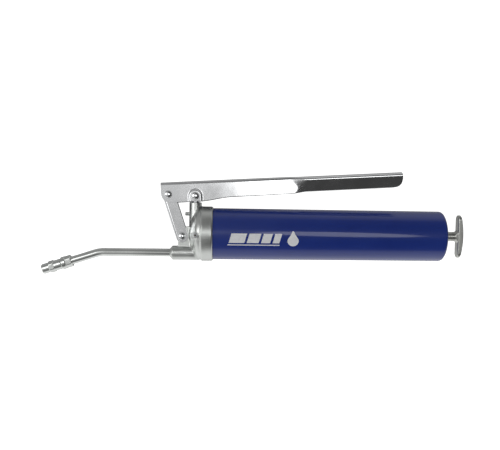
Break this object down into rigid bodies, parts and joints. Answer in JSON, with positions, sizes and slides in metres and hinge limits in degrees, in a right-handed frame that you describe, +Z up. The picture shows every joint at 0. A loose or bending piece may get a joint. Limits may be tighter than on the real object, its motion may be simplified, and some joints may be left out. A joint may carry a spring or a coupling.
{
  "type": "grease gun",
  "caption": "Lever-action grease gun: blue barrel with spring follower and T-handle rod, cast head, hand lever, bent spout and grease nipple coupler.",
  "frame": {"origin": "on the barrel's axis, where the barrel's full diameter begins behind the head's collar", "axes": "+X along the barrel from the head to the T-handle, +Z up through the lever, +Y across the gun"},
  "size_m": [0.4776, 0.0614, 0.1206],
  "materials": {
    "cast_zinc": "satin-plated die casting",
    "chrome_plate": "bright chrome plate",
    "zinc_plate": "bright zinc plate",
    "plain_steel": "turned steel",
    "ground_steel": "ground and polished steel",
    "spring_steel": "drawn spring wire",
    "blue_enamel": "gloss enamel",
    "black_rubber": "matt nitrile rubber",
    "brass": "turned brass"
  },
  "bodies": {
    "head": {"head_casting": "cast_zinc", "vent_plug": "cast_zinc", "bleeder_body": "plain_steel", "bleeder_spring": "spring_steel", "plunger_seal": "black_rubber", "seal_retainer": "plain_steel", "link_pin": "chrome_plate", "outlet_spring": "spring_steel", "spout_tube": "zinc_plate", "coupler_body": "zinc_plate", "coupler_ball_spring": "spring_steel", "coupler_ball_stop": "plain_steel", "coupler_seal_spring": "spring_steel"},
    "bleeder": {"bleeder_stem": "brass"},
    "plunger": {"plunger": "ground_steel"},
    "lever": {"lever": "chrome_plate", "lever_front_pin": "chrome_plate", "plunger_pin": "chrome_plate"},
    "link": {"link": "chrome_plate"},
    "outlet_valve": {"outlet_ball": "ground_steel"},
    "coupler_valve": {"coupler_ball": "ground_steel"},
    "seal": {"coupler_seal": "black_rubber"},
    "jaws": {"coupler_jaws": "plain_steel"},
    "sleeve": {"coupler_sleeve": "zinc_plate"},
    "gasket": {"barrel_gasket": "black_rubber"},
    "barrel": {"barrel_tube": "blue_enamel", "rod_bush": "plain_steel", "follower_spring": "spring_steel"},
    "follower": {"follower_cup": "black_rubber", "follower_front_washer": "plain_steel", "follower_rear_washer": "plain_steel"},
    "rod": {"follower_rod": "ground_steel", "follower_nut": "plain_steel", "t_handle": "zinc_plate"}
  },
  "joints": [
    {"name": "lever_swing", "type": "hinge", "parent": "plunger", "child": "lever", "pos_m": [-0.0212, 0, 0.042], "axis": [0, -1, 0], "range_deg": [0, 40]},
    {"name": "plunger_slide", "type": "slide", "parent": "head", "child": "plunger", "axis": [0, 0, 1], "range_m": [0, 0.0214]},
    {"name": "link_swing", "type": "hinge", "parent": "head", "child": "link", "pos_m": [-0.0357, 0, -0.0031], "axis": [0, 1, 0], "range_deg": [0, 6.3]},
    {"name": "bleeder_push", "type": "slide", "parent": "head", "child": "bleeder", "axis": [0.6157, 0.788, 0], "range_m": [0, 0.0005], "stiffness_N_per_m": 300, "springref_m": -0.0005, "deforming": ["bleeder_spring"]},
    {"name": "outlet_lift", "type": "slide", "parent": "head", "child": "outlet_valve", "axis": [-1, 0, 0], "range_m": [0, 0.001], "stiffness_N_per_m": 300, "springref_m": -0.0005, "deforming": ["outlet_spring"]},
    {"name": "coupler_lift", "type": "slide", "parent": "head", "child": "coupler_valve", "axis": [-0.9521, 0, -0.3057], "range_m": [0, 0.0008], "stiffness_N_per_m": 300, "springref_m": -0.0005, "deforming": ["coupler_ball_spring"]},
    {"name": "seal_press", "type": "slide", "parent": "head", "child": "seal", "axis": [0.9521, 0, 0.3057], "range_m": [0, 0.0015], "stiffness_N_per_m": 1000, "springref_m": -0.001, "deforming": ["coupler_seal_spring"]},
    {"name": "sleeve_turn", "type": "hinge", "parent": "jaws", "child": "sleeve", "pos_m": [-0.1262, 0, -0.0218], "axis": [-0.9521, 0, -0.3057], "range_deg": [0, 720]},
    {"name": "sleeve_advance", "type": "slide", "parent": "head", "child": "jaws", "axis": [-0.9521, 0, -0.3057], "range_m": [0, 0.002]},
    {"name": "barrel_turn", "type": "hinge", "parent": "gasket", "child": "barrel", "pos_m": [0, 0, 0], "axis": [1, 0, 0], "range_deg": [0, 1080]},
    {"name": "barrel_advance", "type": "slide", "parent": "head", "child": "gasket", "axis": [1, 0, 0], "range_m": [0, 0.0091]},
    {"name": "rod_slide", "type": "slide", "parent": "barrel", "child": "follower", "axis": [1, 0, 0], "range_m": [0, 0.2], "stiffness_N_per_m": 300, "springref_m": -0.05, "deforming": ["follower_spring"]},
    {"name": "rod_turn", "type": "hinge", "parent": "follower", "child": "rod", "pos_m": [0, 0, 0], "axis": [1, 0, 0], "continuous": true}
  ],
  "couplings": [
    {"joint": "plunger_slide", "follows": "lever_swing", "m_per_rad": 0.030476},
    {"joint": "link_swing", "follows": "lever_swing", "ratio": 0.1533},
    {"joint": "sleeve_turn", "follows": "sleeve_advance", "rad_per_m": 6283},
    {"joint": "barrel_advance", "follows": "barrel_turn", "m_per_rad": 0.00047746}
  ]
}
